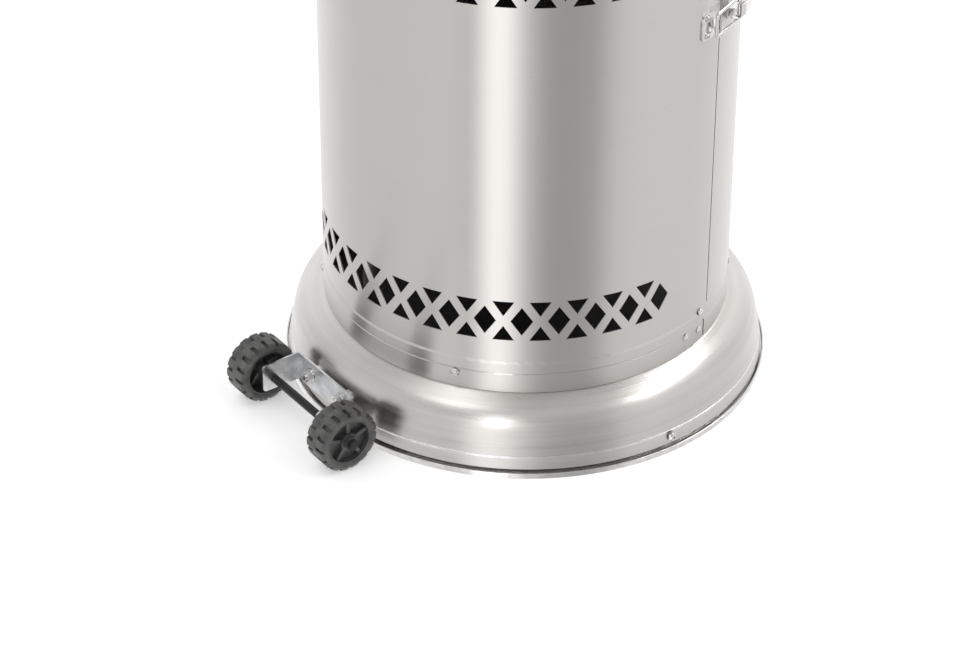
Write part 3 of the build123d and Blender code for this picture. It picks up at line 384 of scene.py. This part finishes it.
def soften(node, edge_mm, finish=None, segments=2):
    """A copy of a CAD part with its edges rounded."""
    bm = merged_copy(node)
    bmesh.ops.dissolve_limit(bm, angle_limit=math.radians(0.6), verts=bm.verts, edges=bm.edges)
    mesh = finished_mesh(bm, node + "_softened")
    piece = place(node + "_softened", mesh, finish or FINISH_OF_SLOT[slot_of(node)], node)
    if edge_mm:
        rounding = piece.modifiers.new("rounded edges", "BEVEL")
        rounding.width = edge_mm * MM
        rounding.segments = segments
        rounding.limit_method = "ANGLE"
        rounding.angle_limit = STEP_ANGLE
        rounding.use_clamp_overlap = True
        rounding.harden_normals = True
    return piece


SOFTENED = {
    "sheet_screws": 0.25, "shell_rivets": 0.2, "keeper_screws": 0.2, "latch_base_screws": 0.2, "leg_bolts": 0.4,
    "latch_keeper": 0.25, "latch_base": 0.25, "latch_lever": 0.3, "latch_bail": 0.0, "lever_pin": 0.2,
    "frame_leaves": 0.25, "door_leaves": 0.25, "hinge_pins": 0.3, "door_jambs": 0.2, "axle": 0.0, "axle_caps": 0.35,
    "axle_spacers": 0.3, "wheel_bracket": 0.35, "bracket_bolts": 0.4, "support_legs": 0.0, "post_flange": 0.4,
    "post_screws": 0.25, "gas_pipes": 0.0, "gas_hose": 0.0, "pipe_union": 0.4, "regulator": 0.8, "hose_clip": 0.3,
    "control_panel": 1.0, "control_knob": 0.8, "valve_stem": 0.2, "igniter_body": 0.5, "igniter_button": 0.3,
    "tilt_switch": 0.6, "gas_valve": 0.8, "burner": 0.3, "pilot_set": 0.3, "reflector_studs": 0.3,
    "reflector_spacers": 0.3, "wing_nuts": 0.5, "left_tyre": 0.8, "right_tyre": 0.8, "left_hub": 0.5,
    "right_hub": 0.5, "post_coupler": 0.0, "control_housing": 0.0,
}
# The door jambs and the legs inside wear the painted-shade sheet back: a dark sheet put where the seams and the
# inside are in shade.
OWN_FINISH = {
    "left_hub": hub_plastic, "right_hub": hub_plastic, "control_knob": knob_plastic, "door_jambs": painted_shade_back,
    "support_legs": painted_shade_back, "control_housing": drum_steel,
}
for node, edge_mm in SOFTENED.items():
    soften(node, edge_mm, OWN_FINISH.get(node))
print("softened", len(SOFTENED), "parts")

# %% [markdown]
# ## Sheet metal turned round the post axis
# The base cover, pan, lid, trims, post and reflector are all round about one axis. Each starts as
# an outline of its wall in the XZ plane. The outline's corners are rounded by a vertex bevel, and a
# full spin sweeps it round the axis with enough steps that no flat shows.

# %% Turned pieces
TURN_STEPS = 256


def turned(name, outline, finish, *nodes, steps=TURN_STEPS, segments=5):
    """Spin a closed outline of (radius, height, corner reach) in millimetres round the post axis."""
    bm = bmesh.new()
    corners = []
    for radius, height, *reach in outline:
        vert = bm.verts.new((radius * MM, 0, height * MM))
        corners.append((vert, reach[0] if reach else 0))
    for (first, _), (second, _) in zip(corners, corners[1:] + corners[:1]):
        bm.edges.new((first, second))
    for reach in sorted({reach for _, reach in corners if reach}):
        rounded = [vert for vert, own in corners if own == reach]
        count = segments if reach < 5 else 18
        bmesh.ops.bevel(bm, geom=rounded, offset=reach * MM, offset_type="OFFSET", segments=count, profile=0.5,
                        affect="VERTICES", material=-1)
    bmesh.ops.spin(bm, geom=bm.verts[:] + bm.edges[:], cent=(0, 0, 0), axis=(0, 0, 1), angle=math.tau, steps=steps,
                   use_merge=True, dvec=(0, 0, 0))
    bmesh.ops.remove_doubles(bm, verts=bm.verts, dist=0.000002)
    bmesh.ops.recalc_face_normals(bm, faces=bm.faces)
    mesh = finished_mesh(bm, name)
    piece = place(name, mesh, finish, *nodes)
    print(name, len(mesh.polygons), "faces")
    return piece


# %% [markdown]
# ### The base
# The cover is one spinning: a short upright side, a round shoulder, a slope, a crease, and a neck that
# goes up inside the collar. The pan below it ends in a thin bright lip, with a dark gap between them.

# %% Base cover, pan and collar
turned("base_cover", [
    (188.1, 92), (188.1, 69, 0.2), (191.0, 69.0, 2.2), (216.9, 53.9, 14.5), (225.6, 8.2, 0.4),
    (224.4, 8.2, 0.4), (215.9, 53.1, 13.6), (190.4, 67.9, 0.4), (186.9, 67.8), (186.9, 92),
], satin_steel, "base_dome")
turned("base_tray_pan", [
    (0.01, 0), (228.6, 0, 0.5), (228.6, 5.7, 0.35), (227.0, 5.7, 0.35), (227.0, 1.5, 0.5), (223.6, 1.5, 0.5),
    (223.6, 21, 0.3), (222.1, 21, 0.3), (222.1, 1.5), (0.01, 1.5),
], bright_metal, "base_pan")
turned("base_iron_weight", [
    (60, 1.5), (206, 1.5), (206, 22, 3), (60, 22, 2),
], iron_paint, "base_weight", steps=96)
# The tray inside the drum wears the painted-shade sheet back, which stands in for the shade of the interior.
turned("inner_bottle_tray", [
    (0.01, 62.3), (0.01, 63.5), (184, 63.5, 0.8), (184, 66.5), (185.2, 66.5), (185.2, 62.3, 0.8), (151.5, 62.3),
    (151.5, 22), (150, 22), (150, 62.3),
], painted_shade_back, "bottle_tray", steps=128)

# %% Housing lid and post trim
turned("housing_cover_lid", [
    (191.35, 866), (192.55, 866, 0.4), (192.55, 883.2, 5.2), (36, 902, 0.4), (36, 900.8), (186, 882.6, 3),
    (191.35, 876.0, 0.5),
], drum_steel, "housing_lid")
turned("post_foot_trim", [
    (31.95, 902.2), (46, 902.2, 0.4), (46, 904.2, 1.0), (36.6, 908.4, 2.4), (35.4, 920, 0.8), (31.95, 920, 0.3),
], bright_metal, "post_trim", steps=96)

# %% [markdown]
# ### The post, the burner tray and the cap
# The post is polished tube. It is made again as a turned tube, because a long narrow cylinder shows
# every flat in its reflections. The control head isn't turned here, because a turned one would have
# no holes for its knob and button: it is one of the softened copies above.

# %% Post, burner tray and cap
turned("lower_post_tube", [
    (30.25, 810), (31.75, 810, 0.3), (31.75, 1290, 0.4), (30.25, 1290),
], post_steel, "lower_post", steps=96)
turned("upper_post_tube", [
    (30.25, 1290), (31.75, 1290, 0.4), (31.75, 1712, 0.3), (30.25, 1712),
], post_steel, "upper_post", steps=96)
turned("burner_tray", [
    (24, 1835), (97, 1835, 1.4), (97, 1850, 0.4), (95.8, 1850), (95.8, 1836.2, 0.6), (24, 1836.2),
], satin_steel, "burner_pan", steps=160)
turned("emitter_top_cap", [
    (0.01, 2085), (0.01, 2086.5), (120.4, 2086.5, 2.2), (120.4, 2072, 0.4), (119, 2072), (119, 2085, 0.8),
], emitter_metal, "emitter_cap", steps=160)

# %% [markdown]
# ### The collar and the rolled skins
# The shell, the door and the collar are one thickness of rolled sheet with holes cut in it. Their CAD
# shape is already right, hole for hole, so a copy keeps every face. A rolled wall has one true
# direction at each point, straight out from the axis, and giving the wall's corners exactly that
# direction makes its reflections as smooth as the real sheet's.

# %% Rolled skins
WALL_LEAN = 0.25
WALL_FACING = 0.95


def rolled_skin(name, node, finish):
    """A copy of a rolled sheet whose outer and inner walls are shaded straight out from the axis."""
    bm = merged_copy(node)
    mesh = finished_mesh(bm, name)
    normals = []
    backs = []
    for face in mesh.polygons:
        backs.append(face.normal.dot(Vector((face.center.x, face.center.y, 0)).normalized()) < -WALL_FACING)
        for index in face.loop_indices:
            spot = mesh.vertices[mesh.loops[index].vertex_index].co
            out = Vector((spot.x, spot.y, 0)).normalized()
            facing = face.normal.dot(out)
            on_wall = abs(face.normal.z) < WALL_LEAN and abs(facing) > WALL_FACING
            normals.append(out * math.copysign(1, facing) if on_wall else face.normal.copy())
    mesh.normals_split_custom_set(normals)
    piece = place(name, mesh, finish, node)
    # Faces on the back of the sheet take the painted-shade finish: a dark sheet that stands in for the shade inside
    # the drum.
    mesh.materials.append(painted_shade_back)
    mesh.polygons.foreach_set("material_index", backs)
    print(name, len(mesh.polygons), "faces,", sum(backs), "of them on the back")
    return piece


rolled_skin("housing_wall", "housing_shell", drum_steel)
rolled_skin("door_skin", "door_panel", drum_steel)
rolled_skin("collar_ring", "housing_collar", drum_steel)

# %% [markdown]
# ### The reflector
# The dish is spun from aluminium disc: flat in the middle, falling away in one long curve, with the
# rim rolled into a bead. The fall is one long rounded corner of the outline.

# %% Reflector dish
turned("reflector_dish", [
    (0.01, 2152), (0.01, 2153.2), (112, 2153.2, 2), (176, 2153.2, 60), (404, 2101.4, 1.5), (409, 2104.1, 1.6),
    (412, 2102.5, 1.6), (412, 2097.2, 1.8), (408, 2096, 1.6), (404, 2098.4, 1.2), (404.2, 2100.2, 0.5),
    (176, 2152, 60), (112, 2152, 2),
], reflector_metal, "reflector")

# %% [markdown]
# ### The emitter screen
# The glowing screen is perforated sheet rolled into a slight cone. Each hole is one cell of a fine
# tube: the cell is inset, and the inner face is cut away. The holes are square, and finer and more
# than the CAD part's round ones. A solidify step then gives the sheet its thickness.

# %% Perforated emitter screen
SCREEN_CELLS = 60
SCREEN_ROWS = 22


def perforated_screen():
    """A cone of thin sheet with rows of small square holes, which stand in for round ones."""
    bottom, top = 1836.2 * MM, 2085 * MM
    bm = bmesh.new()
    bmesh.ops.create_cone(bm, cap_ends=False, segments=SCREEN_CELLS, radius1=91.6 * MM, radius2=113.6 * MM,
                          depth=top - bottom)
    bmesh.ops.translate(bm, verts=bm.verts, vec=(0, 0, (top + bottom) / 2))
    upright = [edge for edge in bm.edges if abs(edge.verts[0].co.z - edge.verts[1].co.z) > 0.1]
    bmesh.ops.subdivide_edges(bm, edges=upright, cuts=SCREEN_ROWS - 1, use_grid_fill=True)
    cells = [face for face in bm.faces if abs(face.calc_center_median().z - (top + bottom) / 2) < 0.118]
    bmesh.ops.inset_individual(bm, faces=cells, thickness=0.0017, depth=0.0)
    bmesh.ops.delete(bm, geom=cells, context="FACES")
    bmesh.ops.solidify(bm, geom=bm.faces[:], thickness=0.0008)
    bmesh.ops.recalc_face_normals(bm, faces=bm.faces)
    return finished_mesh(bm, "emitter_mesh_screen")


place("emitter_mesh_screen", perforated_screen(), emitter_metal, "emitter_screen")

# %% [markdown]
# ## The studio
# The heater stands on a plain pale floor in a tent of soft light. Brushed metal shows what stands
# round it as upright bands, so the tent isn't even: it has one narrow bright strip, one darker gap
# beside it, and a gentle rise towards the back.

# %% Floor
floor_material, _, floor_shader = new_finish("pale_floor", (0.93, 0.93, 0.93), 0.0, 0.8)
floor_shader.inputs["Specular IOR Level"].default_value = 0.0
floor_shader.inputs["Emission Color"].default_value = (1, 1, 1, 1)
floor_shader.inputs["Emission Strength"].default_value = 0.3
floor_mesh = bpy.data.meshes.new("studio_floor")
floor_bm = bmesh.new()
bmesh.ops.create_circle(floor_bm, cap_ends=True, segments=64, radius=9.0)
floor_bm.to_mesh(floor_mesh)
floor_bm.free()
floor_mesh.materials.append(floor_material)
floor = bpy.data.objects.new("studio_floor", floor_mesh)
bpy.context.scene.collection.objects.link(floor)
floor.visible_glossy = False

# %% Light tent
TENT_PEAK = 2.0
TENT_BANDS = (
    (-180, 1.2), (-150, 1.2), (-110, 0.85), (-40, 0.9), (-30, 0.7), (-20, 1.7), (-12, 1.6), (0, 0.8),
    (12, 0.5), (36, 0.5), (50, 0.9), (110, 0.9), (150, 1.2), (180, 1.2),
)


def light_tent():
    """A world that is plain white to the eye and a banded tent of light to everything else."""
    world = bpy.data.worlds.new("light_tent")
    bpy.context.scene.world = world
    world.use_nodes = True
    tree = world.node_tree
    background = tree.nodes["Background"]
    direction = add_node(tree, "ShaderNodeTexCoord").outputs["Generated"]
    turn = add_node(tree, "ShaderNodeVectorRotate", rotation_type="Z_AXIS")
    turn.inputs["Angle"].default_value = -CAMERA_BEARING
    tree.links.new(direction, turn.inputs["Vector"])
    apart = add_node(tree, "ShaderNodeSeparateXYZ")
    tree.links.new(turn.outputs["Vector"], apart.inputs[0])
    bearing = add_node(tree, "ShaderNodeMath", operation="ARCTAN2")
    tree.links.new(apart.outputs["Y"], bearing.inputs[0])
    tree.links.new(apart.outputs["X"], bearing.inputs[1])
    part_round = ranged(tree, bearing.outputs[0], 0, 1, -math.pi, math.pi)
    ramp = add_node(tree, "ShaderNodeValToRGB")
    stops = ramp.color_ramp.elements
    for number, (angle, strength) in enumerate(TENT_BANDS):
        place_on_ramp = (angle + 180) / 360
        stop = stops[number] if number < 2 else stops.new(place_on_ramp)
        stop.position = place_on_ramp
        stop.color = (strength / TENT_PEAK,) * 3 + (1,)
    tree.links.new(part_round, ramp.inputs["Fac"])
    height = ranged(tree, apart.outputs["Z"], 0, 1, 0.45, 0.8)
    overhead = add_node(tree, "ShaderNodeMix", data_type="RGBA")
    overhead.inputs[7].default_value = (0.7 / TENT_PEAK,) * 3 + (1,)
    tree.links.new(height, overhead.inputs[0])
    tree.links.new(ramp.outputs["Color"], overhead.inputs[6])
    seen = add_node(tree, "ShaderNodeLightPath").outputs["Is Camera Ray"]
    plain = add_node(tree, "ShaderNodeMix", data_type="RGBA")
    plain.inputs[7].default_value = (1.02 / TENT_PEAK,) * 3 + (1,)
    tree.links.new(seen, plain.inputs[0])
    tree.links.new(overhead.outputs[2], plain.inputs[6])
    tree.links.new(plain.outputs[2], background.inputs["Color"])
    background.inputs["Strength"].default_value = TENT_PEAK


light_tent()


def soft_light(name, bearing, distance, height, width, tall, power, aim_height):
    """A soft area light at a bearing from the camera's side, aimed at the post axis."""
    lamp = bpy.data.objects.new(name, bpy.data.lights.new(name, "AREA"))
    bpy.context.scene.collection.objects.link(lamp)
    lamp.data.shape = "RECTANGLE"
    lamp.data.size, lamp.data.size_y = width, tall
    lamp.data.energy = power
    angle = CAMERA_BEARING + math.radians(bearing)
    spot = Vector((math.cos(angle) * distance, math.sin(angle) * distance, height))
    aim = Vector((0, 0, aim_height)) - spot
    lamp.matrix_world = Matrix.Translation(spot) @ aim.to_track_quat("-Z", "Y").to_matrix().to_4x4()
    return lamp


soft_light("key_softbox", -12, 2.0, 1.25, 0.34, 0.6, 3.0, 0.1)
soft_light("right_softbox", 84, 1.5, 1.75, 1.1, 0.3, 8.0, 0.05)
soft_light("far_right_softbox", 128, 1.5, 1.75, 1.1, 0.34, 9.0, 0.05)
soft_light("overhead_softbox", -60, 1.8, 4.2, 1.6, 1.6, 18, 0.3)
bpy.context.scene.view_settings.view_transform = "Standard"
bpy.context.scene.view_settings.look = "None"
